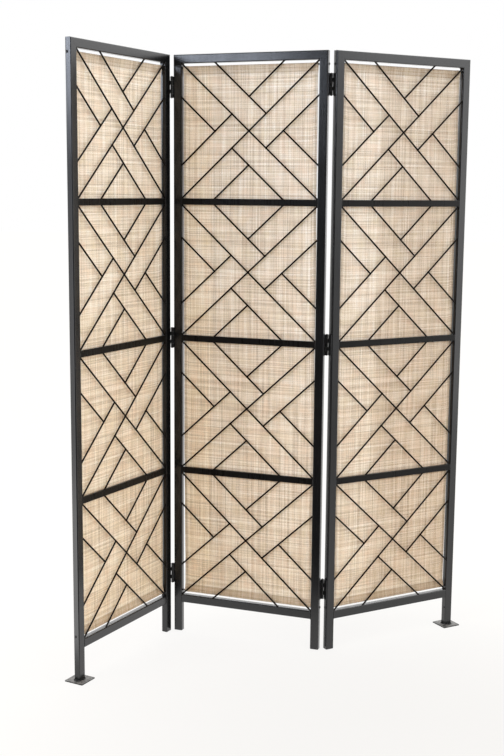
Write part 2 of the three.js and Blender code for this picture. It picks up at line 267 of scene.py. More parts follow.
pins = {joint["name"]: Vector((*joint["pos_m"][:2], 0)) for joint in frame["joints"]}
left_pin = Matrix.Translation(pins["left_fold"]) @ Matrix.Rotation(left_fold, 4, "Z")
right_pin = Matrix.Translation(pins["right_fold"]) @ Matrix.Rotation(right_fold, 4, "Z")
panels = {
    "left": left_pin @ Matrix.Translation((-pin_across, pin_out, 0)),
    "centre": Matrix.Translation(pins["left_fold"] + Vector((pin_across, pin_out, 0))),
    "right": right_pin @ Matrix.Translation((pin_across, -pin_out, 0)),
}


class Finish(Nodes):
    """The material of one finish. Patterns on it are read in the place of the piece."""

    def __init__(self, name):
        self.material = bpy.data.materials.new(name)
        self.material.use_nodes = True
        super().__init__(self.material.node_tree)
        self.place = self.add("ShaderNodeTexCoord", output="Object")

    def clouds(self, scale, detail=2.0, place=None, roughness=0.5):
        """Soft noise with that many patches to a metre, from 0 to 1."""
        values = {"Scale": scale, "Detail": detail, "Roughness": roughness}
        return self.add("ShaderNodeTexNoise", values={"Vector": place or self.place, **values})

    def stretched(self, scale, place=None):
        return self.add("ShaderNodeMapping", values={0: place or self.place, "Scale": scale})

    def tinted(self, first, second, share, kind="MIX"):
        """Goes from the first colour to the second by the share given."""
        settings = {"data_type": "RGBA", "blend_type": kind}
        return self.add("ShaderNodeMix", settings, {0: share, 6: first, 7: second}, output=2)

    def relief(self, height, depth, over=None):
        values = {"Height": height, "Distance": depth, "Strength": 1.0}
        if over:
            values["Normal"] = over
        return self.add("ShaderNodeBump", values=values)

    def surface(self, **values):
        """Ends the finish in one surface shader. Underscores stand for spaces in its sockets."""
        named = {name.replace("_", " "): value for name, value in values.items()}
        skin = self.add("ShaderNodeBsdfPrincipled", values=named)
        self.add("ShaderNodeOutputMaterial", values={"Surface": skin})


def sprayed(name, shade, bloom, gloss, settled=0.10, shine=0.5):
    """Satin spray coat: faint orange peel, cloudy gloss, a little dust on top, rubbed corners."""
    coat = Finish(name)
    cloudy = coat.clouds(11, 4.0)
    peel = coat.clouds(720, 1.5)
    rubbed_along = coat.clouds(1.0, 3.0, coat.stretched((260, 260, 9)))
    upwards = coat.add("ShaderNodeNewGeometry", output="Normal")
    upwards = coat.add("ShaderNodeSeparateXYZ", values={0: upwards}, output="Z")
    dust = coat.faded(upwards, 0.55, 0.98) * coat.faded(coat.clouds(95, 5.0), 0.3, 0.7)
    corner = coat.add("ShaderNodeAttribute", {"attribute_name": "corner"}, output="Fac")
    worn = corner * coat.faded(coat.clouds(160, 5.0, roughness=0.65), 0.66, 0.74)
    body = coat.tinted(shade, bloom, coat.faded(cloudy, 0.25, 0.8))
    body = coat.tinted(body, (0.16, 0.15, 0.14, 1), dust * settled)
    body = coat.tinted(body, (0.10, 0.095, 0.09, 1), worn * 0.8)
    coat.surface(
        Base_Color=body,
        Roughness=gloss + cloudy * 0.09 + rubbed_along * 0.07 + dust * 0.15 - 0.08,
        Normal=coat.relief(peel, 0.000035),
        Specular_IOR_Level=shine,
    )
    return coat.material


def rounded_outline(width, depth, radius, steps=6):
    """Points round a rounded rectangle, each with a mark for the rolled corners. A narrow land
    beside each corner keeps the flats flat."""
    land = 0.0003
    points = []
    for turn in range(4):
        start = turn * math.pi / 2
        side_x, side_y = [(1, 1), (-1, 1), (-1, -1), (1, -1)][turn]
        centre = Vector((side_x * (width / 2 - radius), side_y * (depth / 2 - radius)))
        arc = [start + math.pi / 2 * step / steps for step in range(steps + 1)]
        rim = [centre + radius * Vector((math.cos(a), math.sin(a))) for a in arc]
        lead_in = Vector((math.sin(start), -math.cos(start))) * land
        lead_out = Vector((-math.cos(start), -math.sin(start))) * land
        points.append((rim[0] + lead_in, 0.0))
        points.extend((point, 1.0) for point in rim)
        points.append((rim[-1] + lead_out, 0.0))
    return points


def skinned(shape, rings, looped=False, capped=False):
    """Faces between each ring of vertices and the next, with caps or a way back if asked for."""
    for ring, following in zip(rings, rings[1:] + rings[:1] if looped else rings[1:]):
        for step, vertex in enumerate(ring):
            beside = (step + 1) % len(ring)
            corners = (vertex, ring[beside], following[beside], following[step])
            shape.faces.new(dict.fromkeys(corners))
    if capped:
        shape.faces.new(rings[0])
        shape.faces.new(rings[-1])
    bmesh.ops.recalc_face_normals(shape, faces=shape.faces)
    return shape


def tube_shape(face, depth, radius, wall, lower, upper):
    """A hollow tube. lower and upper say where it is cut, for each place across its face."""
    outside = rounded_outline(face, depth, radius)
    inside = rounded_outline(face - 2 * wall, depth - 2 * wall, radius - wall / 2)
    shape = bmesh.new()
    corner = shape.verts.layers.float.new("corner")
    rings = []
    for outline, cut in ((outside, lower), (outside, upper), (inside, upper), (inside, lower)):
        ring = []
        for point, rolled_corner in outline:
            ring.append(shape.verts.new((*point, cut(point.x))))
            ring[-1][corner] = rolled_corner
        rings.append(ring)
    return skinned(shape, rings, looped=True)


sharp_edge = math.radians(38)


def fitted(name, panel, shape, finish, slot, *stands_for):
    """Puts a shape or mesh that is made about a panel's middle into that panel."""
    mesh = mesh_of(name, shape) if isinstance(shape, bmesh.types.BMesh) else shape
    mesh.transform(panels[panel])
    mesh.polygons.foreach_set("use_smooth", [True] * len(mesh.polygons))
    mesh.set_sharp_from_angle(angle=sharp_edge)
    if finish:
        mesh.materials.append(finish)
    piece = linked(name, mesh)
    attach(piece, f"{panel}_panel")
    if stands_for:
        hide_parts(*stands_for)
    return piece


def worked_out(maker):
    """The plain mesh that an object's modifiers make. The object itself is removed."""
    graph = bpy.context.evaluated_depsgraph_get()
    mesh = bpy.data.meshes.new_from_object(maker.evaluated_get(graph))
    maker.modifiers.clear()
    bpy.data.objects.remove(maker)
    return mesh


def carved(shape, cutter, operation="DIFFERENCE"):
    """The shape with the cutter taken out of it, or with only what both share."""
    made = []
    for part in (shape, cutter):
        bmesh.ops.recalc_face_normals(part, faces=part.faces)
        made.append(linked("carving", mesh_of("carving", part)))
    knife = made[0].modifiers.new("carving", "BOOLEAN")
    knife.object = made[1]
    knife.operation = operation
    knife.solver = "EXACT"
    result = bmesh.new()
    result.from_mesh(worked_out(made[0]))
    bpy.data.objects.remove(made[1])
    return result


def drill(diameter, start, end):
    """A round cutter between two points."""
    start, end = Vector(start), Vector(end)
    turn = (end - start).to_track_quat("Z", "Y").to_matrix().to_4x4()
    shape = bmesh.new()
    place = Matrix.Translation((start + end) / 2) @ turn
    bmesh.ops.create_cone(
        shape, cap_ends=True, segments=28, radius1=diameter / 2, radius2=diameter / 2,
        depth=(end - start).length, matrix=place,
    )
    return shape


frame_coat = sprayed("frame_coat", (0.0030, 0.0030, 0.0034, 1), (0.0050, 0.0050, 0.0054, 1), 0.22)
drain_hole = 0.005
drain_height = 0.060
drain_off_middle = -0.004

for panel in panels:
    for side_name, side in sides.items():
        foot = plug_flange if side_name in plugged[panel] else plate_thickness
        leg = tube_shape(
            *tube_section, lambda across: foot,
            lambda across: panel_height - tube_face / 2 + side * across - joint_gap,
        )
        if side_name not in plugged[panel]:
            inner = -side * tube_face / 2
            hole = drill(
                drain_hole, (inner * 0.7, drain_off_middle, drain_height),
                (inner * 1.3, drain_off_middle, drain_height),
            )
            leg = carved(leg, hole)
        leg.transform(Matrix.Translation((side * upright_x, 0, 0)))
        fitted(
            f"{panel}_{side_name}_leg", panel, leg, frame_coat, "frame",
            f"{panel}_panel_{side_name}_upright",
        )


# ---- Rails ---------------------------------------------------------------------------------
# The top rail is the same tube, mitred to the legs. The bottom rail is cut square and butted
# between them, so that the legs run on below it as feet.
bottom_rail_middle = 0.0945 + tube_face / 2
lying = Matrix(((0, 0, 1, 0), (0, 1, 0, 0), (1, 0, 0, 0), (0, 0, 0, 1)))


def rail_shape(section, depth, height, reach, mitre=0):
    """A tube that lies across the panel at that depth and height. mitre slants its ends."""
    rail = tube_shape(*section, lambda up: -reach - mitre * up, lambda up: reach + mitre * up)
    rail.transform(Matrix.Translation((0, depth, height)) @ lying)
    bmesh.ops.recalc_face_normals(rail, faces=rail.faces)
    return rail


rails = {
    "top": (panel_height - tube_face / 2, upright_x - joint_gap, 1),
    "bottom": (bottom_rail_middle, opening_half - joint_gap, 0),
}
for panel in panels:
    for rail_name, (height, reach, mitre) in rails.items():
        rail = rail_shape(tube_section, 0, height, reach, mitre)
        fitted(
            f"{panel}_{rail_name}_tube", panel, rail, frame_coat, "frame",
            f"{panel}_panel_{rail_name}_rail",
        )


# ---- Crossbars -----------------------------------------------------------------------------
# Three flat 19 x 9 mm tubes run across each panel, flush with the front of the legs. They split
# the opening into four equal cells and pass in front of the cloth.
bar_face = 0.019
bar_depth = 0.009
bar_radius = 0.0015
bar_wall = 0.0012
bar_section = (bar_face, bar_depth, bar_radius, bar_wall)
opening_bottom = bottom_rail_middle + tube_face / 2
opening_top = panel_height - tube_face
cell_height = (opening_top - opening_bottom - 3 * bar_face) / 4
cell_pitch = cell_height + bar_face
bar_heights = [opening_top - bar * cell_pitch + bar_face / 2 for bar in (1, 2, 3)]

bar_coat = sprayed(
    "bar_coat", (0.0040, 0.0036, 0.0034, 1), (0.0065, 0.0060, 0.0056, 1), 0.28, 0.06, 0.14
)

for panel in panels:
    for bar, bar_height in enumerate(bar_heights, start=1):
        crossbar = rail_shape(
            bar_section, front + bar_depth / 2, bar_height, opening_half - joint_gap
        )
        fitted(
            f"{panel}_crossbar_{bar}_tube", panel, crossbar, bar_coat, "frame",
            f"{panel}_panel_crossbar_{bar}",
        )


# ---- Frame welds ---------------------------------------------------------------------------
# Rippled fillet beads hold the frame together: in the mitre corners, above and below the ends
# of the bottom rail, and round the back of every crossbar's ends. The front seams are ground
# nearly flat, and all of them are sprayed over with the frame.
bead_pitch = 0.0011
bead_radius = 0.0021
flush_bead_radius = 0.0011
flush_seam = front + 0.0004
seam_end = 0.002


class Pattern(Nodes):
    """A Geometry Nodes tree with named inputs, which is grown on a mesh of lines or points."""

    def __init__(self, name, **inputs):
        super().__init__(bpy.data.node_groups.new(name, "GeometryNodeTree"))
        sockets = self.tree.interface
        sockets.new_socket("Geometry", in_out="OUTPUT", socket_type="NodeSocketGeometry")
        sockets.new_socket("Base", in_out="INPUT", socket_type="NodeSocketGeometry")
        self.identifiers = {}
        for label, kind in {**inputs, "Finish": "Material"}.items():
            socket = sockets.new_socket(label, in_out="INPUT", socket_type=f"NodeSocket{kind}")
            self.identifiers[label] = socket.identifier
        entry = self.tree.nodes.new("NodeGroupInput")
        self.given = {socket.name: Wire(self, socket) for socket in entry.outputs}

    def uneven(self, low, high):
        """A number for each point, drawn with the seed that is given."""
        return self.add(
            "FunctionNodeRandomValue", {"data_type": "FLOAT"},
            {2: low, 3: high, "Seed": self.given["Seed"]}, output=1,
        )

    def end(self, geometry):
        whole = self.add("GeometryNodeRealizeInstances", values={0: geometry})
        smooth = self.add("GeometryNodeSetShadeSmooth", values={0: whole})
        coated = self.add(
            "GeometryNodeSetMaterial", values={0: smooth, "Material": self.given["Finish"]}
        )
        self.add("NodeGroupOutput", values={0: coated})

    def grown(self, base, values):
        """The plain mesh that the tree makes of the base mesh."""
        carrier = linked("growing", base)
        modifier = carrier.modifiers.new("growing", "NODES")
        modifier.node_group = self.tree
        for label, value in values.items():
            modifier[self.identifiers[label]] = value
        return worked_out(carrier)


def line_mesh(lines):
    """A mesh of open lines, each given by its points."""
    points = [point for line in lines for point in line]
    edges = []
    first = 0
    for line in lines:
        edges.extend((first + step, first + step + 1) for step in range(len(line) - 1))
        first += len(line)
    mesh = bpy.data.meshes.new("lines")
    mesh.from_pydata(points, edges, [])
    return mesh


def strung(pattern, segments, rings, radius, size):
    """Ends a pattern with a ball of that size at every pitch of its lines, turned along them."""
    seam = pattern.add("GeometryNodeMeshToCurve", values={0: pattern.given["Base"]})
    seam = pattern.add(
        "GeometryNodeResampleCurve", {"mode": "LENGTH"},
        {"Curve": seam, "Length": pattern.given["Pitch"]},
    )
    along = pattern.add("GeometryNodeInputTangent")
    along = pattern.add("FunctionNodeAlignRotationToVector", {"axis": "Z"}, {"Vector": along})
    ball = {"Segments": segments, "Rings": rings, "Radius": radius}
    ball = pattern.add("GeometryNodeMeshUVSphere", values=ball)
    size = pattern.add("ShaderNodeCombineXYZ", values=dict(enumerate(size)))
    places = {"Points": seam, "Instance": ball, "Rotation": along, "Scale": size}
    pattern.end(pattern.add("GeometryNodeInstanceOnPoints", values=places))


weld_bead = Pattern("weld_bead", Pitch="Float", Radius="Float", Seed="Int")
drop_size = weld_bead.uneven(0.82, 1.16) * weld_bead.given["Radius"]
strung(weld_bead, 10, 6, 1, (drop_size, drop_size, drop_size * 0.62))

for panel in panels:
    fillets, ground_seams = [], []
    for x in (-opening_half, opening_half):
        near, back = front + seam_end, front + bar_depth
        fillets.append([(x, near, opening_top), (x, -near, opening_top)])
        for height in (bottom_rail_middle - tube_face / 2, opening_bottom):
            fillets.append([(x, front + 0.003, height), (x, -near, height)])
        seams = [(bottom_rail_middle, 0.011)] + [(bar, bar_face / 2 - 0.001) for bar in bar_heights]
        for middle, half in seams:
            ground_seams.append([(x, flush_seam, middle + end) for end in (-half, half)])
        for bar_height in bar_heights:
            low, high = bar_height - bar_face / 2, bar_height + bar_face / 2
            fillets.append([(x, near, low), (x, back, low), (x, back, high), (x, near, high)])
    seed = len(panel)
    for kind, lines, radius in (
        ("fillet", fillets, bead_radius), ("ground", ground_seams, flush_bead_radius),
    ):
        settings = {"Pitch": bead_pitch, "Radius": radius, "Seed": seed, "Finish": frame_coat}
        beads = weld_bead.grown(line_mesh(lines), settings)
        fitted(f"{panel}_{kind}_welds", panel, beads, None, "frame")


# ---- Leg plugs -----------------------------------------------------------------------------
# Black moulded plugs close the four legs that have no plate. A thin flange with a soft rim
# shows under the tube, and a ribbed plug holds it inside.
plug_black = Finish("plug_plastic")
grain = plug_black.clouds(1900, 2.0)
scuffed = plug_black.faded(plug_black.clouds(230, 5.0), 0.5, 0.75)
plug_black.surface(
    Base_Color=plug_black.tinted((0.012, 0.012, 0.012, 1), (0.06, 0.058, 0.055, 1), scuffed * 0.5),
    Roughness=0.5 + scuffed * 0.2,
    Normal=plug_black.relief(grain, 0.00004),
)


def slab_shape(outline_of, levels):
    """A solid stacked from outlines: each level gives a height and how far its rim is drawn in."""
    shape = bmesh.new()
    rings = []
    for height, inset in levels:
        rings.append([shape.verts.new((*point, height)) for point, _ in outline_of(inset)])
    return skinned(shape, rings, capped=True)


def plug_outline(inset):
    radius = max(tube_radius - inset, 0.0006)
    return rounded_outline(tube_face - 2 * inset, tube_depth - 2 * inset, radius)


plug_levels = [(0, 0.0009), (0.0002, 0.0005), (0.0006, 0.0002), (0.0012, 0.0001)]
plug_levels += [(plug_flange, 0.0001), (plug_flange, tube_wall + 0.0002)]
for rib in range(3):
    rib_height = plug_flange + 0.003 + rib * 0.0035
    plug_levels += [(rib_height, tube_wall + 0.0008), (rib_height + 0.001, tube_wall + 0.0001)]
plug_levels.append((plug_flange + 0.014, tube_wall + 0.001))

for panel, side_names in plugged.items():
    for side_name in side_names:
        plug = slab_shape(plug_outline, plug_levels)
        plug.transform(Matrix.Translation((sides[side_name] * upright_x, 0, 0)))
        fitted(f"{panel}_{side_name}_plug", panel, plug, plug_black.material, "frame")


# ---- Foot plates ---------------------------------------------------------------------------
# The two outer legs stand on 62 mm square, 3 mm thick steel plates with eased edges. The leg is
# welded on all round, and the plate is sprayed with the frame but scuffed from standing.
plate_size = 0.062
plate_corner = 0.003
plate_ease = 0.0006


def plate_outline(inset):
    side = plate_size - 2 * inset
    return rounded_outline(side, side, plate_corner - inset)


plate_levels = [(0, plate_ease), (0.0002, plate_ease * 0.3), (plate_ease, 0)]
plate_levels += [(plate_thickness - plate_ease, 0), (plate_thickness - 0.0002, plate_ease * 0.3)]
plate_levels.append((plate_thickness, plate_ease))
foot_weld_outline = rounded_outline(tube_face + 0.0012, tube_depth + 0.0012, tube_radius)
foot_coat = sprayed(
    "foot_coat", (0.008, 0.0085, 0.007, 1), (0.022, 0.021, 0.017, 1), 0.42, 1.0, 0.25
)

for panel, side in sides.items():
    place = Matrix.Translation((side * upright_x, 0, 0))
    plate = slab_shape(plate_outline, plate_levels)
    plate.transform(place)
    fitted(f"{panel}_foot_plate", panel, plate, foot_coat, "frame")
    height = plate_thickness + 0.0003
    weld_line = [place @ Vector((*point, height)) for point, _ in foot_weld_outline]
    settings = {"Pitch": bead_pitch, "Radius": 0.0019, "Seed": 5 + side, "Finish": frame_coat}
    ring = weld_bead.grown(line_mesh([weld_line + weld_line[:1]]), settings)
    fitted(f"{panel}_foot_weld", panel, ring, None, "frame")


# ---- Lattice rods --------------------------------------------------------------------------
# Ten round rods, 5 mm thick, fill each cell in one plane just behind the front: two diagonals
# that cross in the middle, and at each quarter turn a long and a short rod parallel to them.
rod_size = 0.0050
rod_back = 0.003
overreach = 0.007
rod_coat = sprayed(
    "rod_coat", (0.0040, 0.0024, 0.0014, 1), (0.0060, 0.0038, 0.0024, 1), 0.46, 0.02, 0.08
)


def quarter_turned(point):
    """A place in a cell, in shares of it, a quarter turn further round the cell's middle."""
    across, down = point
    return (1 - down, across)


def cell_places(points, cell):
    """Turns shares of a cell, from its top left corner, into places in the panel."""
    top = opening_top - cell * cell_pitch
    return [
        Vector(((2 * across - 1) * opening_half, front + rod_back, top - down * cell_height))
        for across, down in points
    ]


rods = [[(-overreach, -overreach), (1 + overreach, 1 + overreach)]]
rods.append([(1 + overreach, -overreach), (-overreach, 1 + overreach)])
rod_joints = [(0.5, 0.5)]
frame_joints = []
long_rod = [(0.25 - overreach, -overreach), (0.625, 0.375)]
short_rod = [(0.75 + overreach, -overreach), (0.5, 0.25)]
for turn in range(4):
    rods += [long_rod, short_rod]
    rod_joints += [long_rod[1], short_rod[1]]
    frame_joints += [long_rod[0], short_rod[0], [(0, 0), (1, 0), (1, 1), (0, 1)][turn]]
    long_rod = [quarter_turned(point) for point in long_rod]
    short_rod = [quarter_turned(point) for point in short_rod]

round_rod = Pattern("round_rod", Diameter="Float", Sides="Int")
rod_line = round_rod.add("GeometryNodeMeshToCurve", values={0: round_rod.given["Base"]})
rod_section = round_rod.add(
    "GeometryNodeCurvePrimitiveCircle",
    values={"Resolution": round_rod.given["Sides"], "Radius": round_rod.given["Diameter"] / 2},
)
round_rod.end(
    round_rod.add(
        "GeometryNodeCurveToMesh",
        values={"Curve": rod_line, "Profile Curve": rod_section, "Fill Caps": True},
    )
)

for panel in panels:
    lines = [cell_places(rod, cell) for cell in range(4) for rod in rods]
    settings = {"Diameter": rod_size, "Sides": 16, "Finish": rod_coat}
    lattice = round_rod.grown(line_mesh(lines), settings)
    cells = [f"{panel}_panel_lattice_{cell}" for cell in (1, 2, 3, 4)]
    fitted(f"{panel}_lattice_rods", panel, lattice, None, "lattice", *cells)


# ---- Lattice welds -------------------------------------------------------------------------
# Every rod is welded where it meets another rod or the frame. The welds are small uneven blobs,
# a little wider than the rod, sprayed over with it.
weld_blob = Pattern("weld_blob", Radius="Float", Unevenness="Float", Seed="Int")
blob = weld_blob.add("GeometryNodeMeshIcoSphere", values={"Radius": 1, "Subdivisions": 3})
blob_size = weld_blob.uneven(0.88, 1.12) * weld_blob.given["Radius"]
blob_scale = weld_blob.add(
    "ShaderNodeCombineXYZ", values={0: blob_size, 1: blob_size * 0.82, 2: blob_size}
)
blobs = weld_blob.add(
    "GeometryNodeInstanceOnPoints",
    values={"Points": weld_blob.given["Base"], "Instance": blob, "Scale": blob_scale},
)
blobs = weld_blob.add("GeometryNodeRealizeInstances", values={0: blobs})
lumps = weld_blob.add(
    "ShaderNodeTexNoise", {"noise_dimensions": "4D"},
    {"Scale": 420.0, "Detail": 1.0, "W": weld_blob.given["Seed"] * 3.7},
)
outwards = weld_blob.add(
    "ShaderNodeVectorMath", {"operation": "SCALE"},
    {0: weld_blob.add("GeometryNodeInputNormal"),
     "Scale": (lumps - 0.5) * weld_blob.given["Unevenness"]},
)
weld_blob.end(
    weld_blob.add("GeometryNodeSetPosition", values={"Geometry": blobs, "Offset": outwards})
)

for panel in panels:
    for kind, joints, radius in (("rod", rod_joints, 0.0029), ("rod_end", frame_joints, 0.0033)):
        places = [place for cell in range(4) for place in cell_places(joints, cell)]
        settings = {
            "Radius": radius, "Unevenness": 0.0016, "Seed": len(panel) + 10, "Finish": rod_coat,
        }
        blobs = weld_blob.grown(line_mesh([[place] for place in places]), settings)
        fitted(f"{panel}_{kind}_welds", panel, blobs, None, "lattice")


# ---- Hem rods ------------------------------------------------------------------------------
# Two 6 mm bright steel rods in each panel carry the cloth. They reach from leg to leg and are
# screwed through them at both ends, so that the cloth can be stretched.
hem_rod_size = 0.006
hem_rod_depth = front + 0.0125
hem_rod_heights = {"top": opening_top - 0.0115, "bottom": opening_bottom + 0.0115}
drawn_steel = Finish("drawn_steel")
drawn_along = drawn_steel.clouds(1.0, 3.0, drawn_steel.stretched((60, 60, 1500)))
stained = drawn_steel.faded(drawn_steel.clouds(70, 5.0), 0.4, 0.7)
drawn_steel.surface(
    Base_Color=drawn_steel.tinted((0.42, 0.42, 0.43, 1), (0.25, 0.23, 0.21, 1), stained * 0.6),
    Metallic=1.0,
    Roughness=0.28 + drawn_along * 0.14 + stained * 0.12,
    Normal=drawn_steel.relief(drawn_along, 0.00002),
)


def turned_shape(profile, steps=28):
    """A solid turned about the Z axis. The profile gives radius and height, from end to end."""
    shape = bmesh.new()
    rings = []
    for radius, height in profile:
        if radius == 0:
            rings.append([shape.verts.new((0, 0, height))] * steps)
            continue
        angles = [2 * math.pi * step / steps for step in range(steps)]
        rings.append(
            [shape.verts.new((radius * math.cos(a), radius * math.sin(a), height)) for a in angles]
        )
    return skinned(shape, rings)


for panel in panels:
    for end_name, height in hem_rod_heights.items():
        radius, reach, ease = hem_rod_size / 2, opening_half - 0.0001, 0.0005
        profile = [(0, -reach), (radius - ease, -reach), (radius, -reach + ease)]
        profile += [(r, -h) for r, h in reversed(profile)]
        hem_rod = turned_shape(profile)
        hem_rod.transform(Matrix.Translation((0, hem_rod_depth, height)) @ lying)
        bmesh.ops.recalc_face_normals(hem_rod, faces=hem_rod.faces)
        fitted(
            f"{panel}_{end_name}_rod", panel, hem_rod, drawn_steel.material, "steel",
            f"{panel}_panel_{end_name}_hem_rod",
        )


# ---- Cloth ---------------------------------------------------------------------------------
# One plain-woven cloth of slubby natural yarn hangs behind the lattice of each panel. Its long
# edges are turned 8 mm to the back and stitched, and at the top and bottom it goes round a hem
# rod and is stitched 26 mm in, which leaves a double band there. Painted shade darkens these
# double bands and the side hems.
cloth_half = 0.208
skew = {"left": 0.0004, "centre": 0.0026, "right": -0.0004}
cloth_thickness = 0.0008
side_hem = 0.008
hem_depth = 0.026
raw_end = 0.0022
pocket_radius = 0.0038
pocket_gap = 0.00085
layer_step = 0.0009
weave_pitch = 0.0011
seams = {
    "top": hem_rod_heights["top"] + pocket_radius - hem_depth,
    "bottom": hem_rod_heights["bottom"] - pocket_radius + hem_depth,
}


def eased(value, start, end):
    """0 before start and 1 past end, with a smooth way between them."""
    share = min(1.0, max(0.0, (value - start) / (end - start)))
    return share * share * (3 - 2 * share)


def thickened(x):
    """1 in the side hems, where every layer is double, and 0 between them."""
    return eased(abs(x), cloth_half - 0.0175, cloth_half - 0.0095)


def run(first, last, steps):
    """Places on a straight line, in even steps."""
    return [
        tuple(a + (b - a) * step / steps for a, b in zip(first, last)) for step in range(1, steps)
    ]


def pocket_line(thick, end_name):
    """Depth and height of the cloth from its raw end, round the rod, to the seam."""
    loop = pocket_radius + 0.0007 * thick
    layer = pocket_gap + 2 * layer_step * thick
    upright = 1 if end_name == "top" else -1
    rod = hem_rod_heights[end_name]
    drop = abs(rod - seams[end_name])
    behind = math.atan2(-drop, layer) + math.acos(loop / math.hypot(layer, drop))
    before = 1.5 * math.pi - math.acos(loop / drop)
    angles = [behind + (before - behind) * step / 14 for step in range(15)]
    arc = [(loop * math.cos(angle), loop * math.sin(angle)) for angle in angles]
    seam, raw = (layer, -drop), (layer, -drop - raw_end)
    line = [raw, seam] + run(seam, arc[0], 6) + arc + run(arc[-1], (0, -drop), 6) + [(0, -drop)]
    return [(y, rod + upright * up) for y, up in line]


def cloth_line(thick):
    """The whole line of the cloth down the panel, from raw end to raw end."""
    rows = 260
    top = pocket_line(thick, "top")
    bottom = pocket_line(thick, "bottom")[::-1]
    span = seams["top"] - seams["bottom"]
    return top + [(0, seams["top"] - span * row / rows) for row in range(1, rows)] + bottom


def slack(panel, across, height):
    """How far the stretched cloth strays from flat: sideways, because it hangs askew and its
    edges waver, and in depth."""
    share = (height - seams["bottom"]) / (seams["top"] - seams["bottom"])
    askew = -skew[panel] * (2 * min(1.0, max(0.0, share)) - 1)
    if not 0 < share < 1:
        return askew, 0.0
    free = eased(share, 0, 0.06) * eased(1 - share, 0, 0.06)
    seed = 7.3 * len(panel)
    edge = eased(abs(across), 0.10, cloth_half)
    side = math.copysign(1, across)
    drift = noise.noise(Vector((side * 3 + seed, height * 3.1, 0.5)))
    drift += 0.45 * noise.noise(Vector((side * 5 + seed, height * 11, 2.5)))
    widened = side * edge * (0.0016 * drift + 0.0014 * math.sin(math.pi * share))
    ripple = 0.0005 * noise.noise(Vector((across * 26, height * 1.6, seed)))
    curl = 0.0007 * edge * noise.noise(Vector((side * 9 + seed, height * 7, 4.5)))
    return askew + widened * free, (ripple + curl) * free


def cloth_columns():
    """Places across one half of the cloth: unfolded distance, folded distance, distance back."""
    bend = layer_step / 2
    tip = cloth_half - bend
    columns = [(0.006 * step, 0.006 * step, 0.0) for step in range(34)]
    columns += [(0.2025, 0.2025, 0.0), (0.2065, 0.2065, 0.0)]
    for step in range(7):
        angle = math.pi * step / 6
        turned = (tip + bend * angle, tip + bend * math.sin(angle), bend - bend * math.cos(angle))
        columns.append(turned)
    for back in (0.0025, 0.005, side_hem - bend):
        columns.append((tip + bend * math.pi + back, tip - back, 2 * bend))
    return columns


def cloth_mesh(panel):
    half = cloth_columns()
    columns = [(-flat, -x, back) for flat, x, back in half[:0:-1]] + half
    shape = bmesh.new()
    weave = shape.loops.layers.uv.new("weave")
    doubled = shape.verts.layers.float.new("doubled")
    lines = {}
    grid = []
    places = {}
    for flat, x, back in columns:
        thick = round(thickened(x), 4)
        if thick not in lines:
            lines[thick] = cloth_line(thick)
        line = lines[thick]
        column = []
        length = 0.0
        for row, (y, z) in enumerate(line):
            before, after = line[max(row - 1, 0)], line[min(row + 1, len(line) - 1)]
            heading = Vector((after[0] - before[0], after[1] - before[1])).normalized()
            inward = Vector((-heading.y, heading.x))
            length += math.hypot(y - line[row - 1][0], z - line[row - 1][1]) if row else 0.0
            sideways, ripple = slack(panel, x, z)
            if y != 0:
                ripple = 0.0
            point = Vector((x + sideways, y + ripple + inward.x * back, z + inward.y * back))
            vertex = shape.verts.new(point + Vector((0, hem_rod_depth, 0)))
            in_hem = z > seams["top"] or z < seams["bottom"]
            beside_hem = eased(abs(x), cloth_half - 0.0088, cloth_half - 0.0078)
            # Painted shade mask: full in the top and bottom hems, part in the side hems.
            vertex[doubled] = 1.0 if in_hem else 0.55 * beside_hem
            places[vertex] = (flat + 0.5, length)
            column.append(vertex)
        grid.append(column)
    for column, following in zip(grid, grid[1:]):
        for row in range(len(column) - 1):
            corners = (column[row], column[row + 1], following[row + 1], following[row])
            face = shape.faces.new(corners)
            for loop in face.loops:
                loop[weave].uv = places[loop.vert]
    return mesh_of(f"{panel}_cloth", shape)


linen = Finish("slub_cloth")
woven = linen.add("ShaderNodeUVMap", {"uv_map": "weave"})
across, down = linen.add("ShaderNodeSeparateXYZ", values={0: woven}, output=["X", "Y"])
doubled = linen.add("ShaderNodeAttribute", {"attribute_name": "doubled"}, output="Fac")


def streaks(wide, long, seed, upright):
    """Noise drawn out along the yarn: patches that wide and long, upright or lying."""
    scale = (1 / wide, 1 / long) if upright else (1 / long, 1 / wide)
    drawn = {0: across * scale[0], 1: down * scale[1], 2: seed + 0.5}
    return linen.clouds(1.0, 2.0, linen.add("ShaderNodeCombineXYZ", values=drawn), 0.55)


def yarn_shades(upright, seed):
    """The colour of the yarns that run one way: cream, with tan slubs and rosy or green casts."""
    fibre = streaks(0.0011, 0.08, seed, upright)
    yarn = streaks(0.0022, 0.30, seed + 3, upright)
    bundle = streaks(0.0055, 0.80, seed + 5, upright)
    cast = streaks(0.0250, 0.045, seed + 7, upright)
    shade = (0.89, 0.79, 0.675, 1)
    for tint, patches, start, end, share in (
        ((0.66, 0.54, 0.415, 1), fibre, 0.36, 0.66, 0.80),
        ((0.30, 0.245, 0.19, 1), yarn, 0.50, 0.62, 0.74),
        ((1.0, 0.98, 0.95, 1), yarn, 0.48, 0.36, 0.80),
        ((0.48, 0.37, 0.27, 1), bundle, 0.52, 0.64, 0.32),
        ((0.96, 0.91, 0.84, 1), bundle, 0.46, 0.34, 0.36),
        ((0.86, 0.62, 0.46, 1), cast, 0.52, 0.62, 0.22),
        ((0.68, 0.58, 0.36, 1), cast, 0.48, 0.36, 0.22),
    ):
        shade = linen.tinted(shade, tint, linen.faded(patches, start, end) * share)
    return shade


def wave(place):
    """Rises and falls once over two yarns."""
    turn = place * (math.pi / weave_pitch)
    return turn.worked("SINE", turn)


